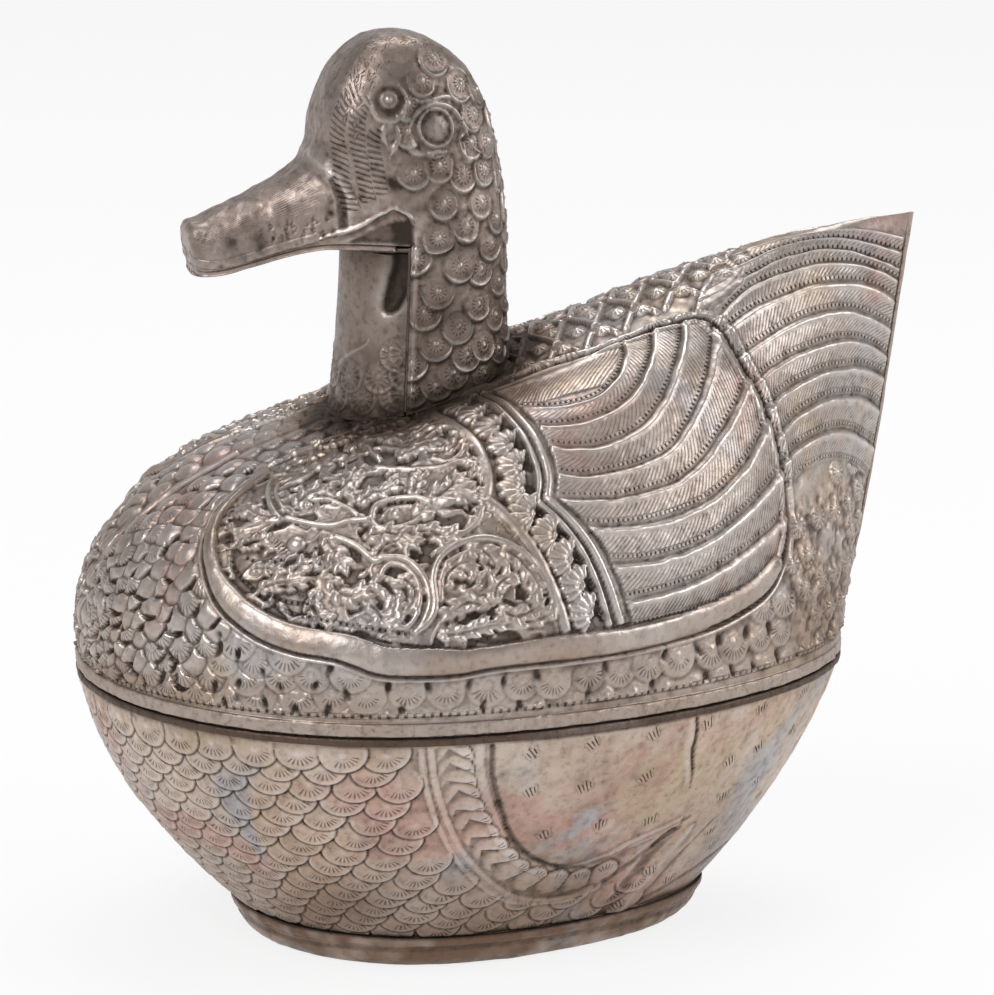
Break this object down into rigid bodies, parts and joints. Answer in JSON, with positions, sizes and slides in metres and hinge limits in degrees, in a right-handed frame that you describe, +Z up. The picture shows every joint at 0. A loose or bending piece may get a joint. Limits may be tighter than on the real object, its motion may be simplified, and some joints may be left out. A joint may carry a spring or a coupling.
{
  "type": "paan box",
  "caption": "Lidded box in the form of a sitting duck: oval footed bowl with a bearing wire and collar, and a lift-off lid with folded wings, raised tail, neck and head",
  "frame": {"origin": "on the floor under the middle of the foot's crease line, on the plane that halves the duck", "axes": "+Z up; -X the way the duck looks; +Y its left, so the near side in the picture is -Y"},
  "size_m": [0.1363, 0.099, 0.1452],
  "materials": {
    "silver": "raised and chased silver, dull with dark oxide in the grooves",
    "silver_plain": "plain silver, worn bright on the edges"
  },
  "bodies": {
    "base": {"bowl": "silver", "foot_pan": "silver", "base_rim_wire": "silver_plain", "inner_collar": "silver_plain"},
    "lid": {"lid_shell": "silver", "lid_rim_band": "silver_plain", "head_neck_shell": "silver", "throat_plate": "silver", "bill_floor": "silver", "tail_edge_strip": "silver_plain"}
  },
  "joints": [
    {"name": "lid_lift", "type": "slide", "parent": "base", "child": "lid", "axis": [0, 0, 1], "range_m": [0, 0.08]}
  ]
}
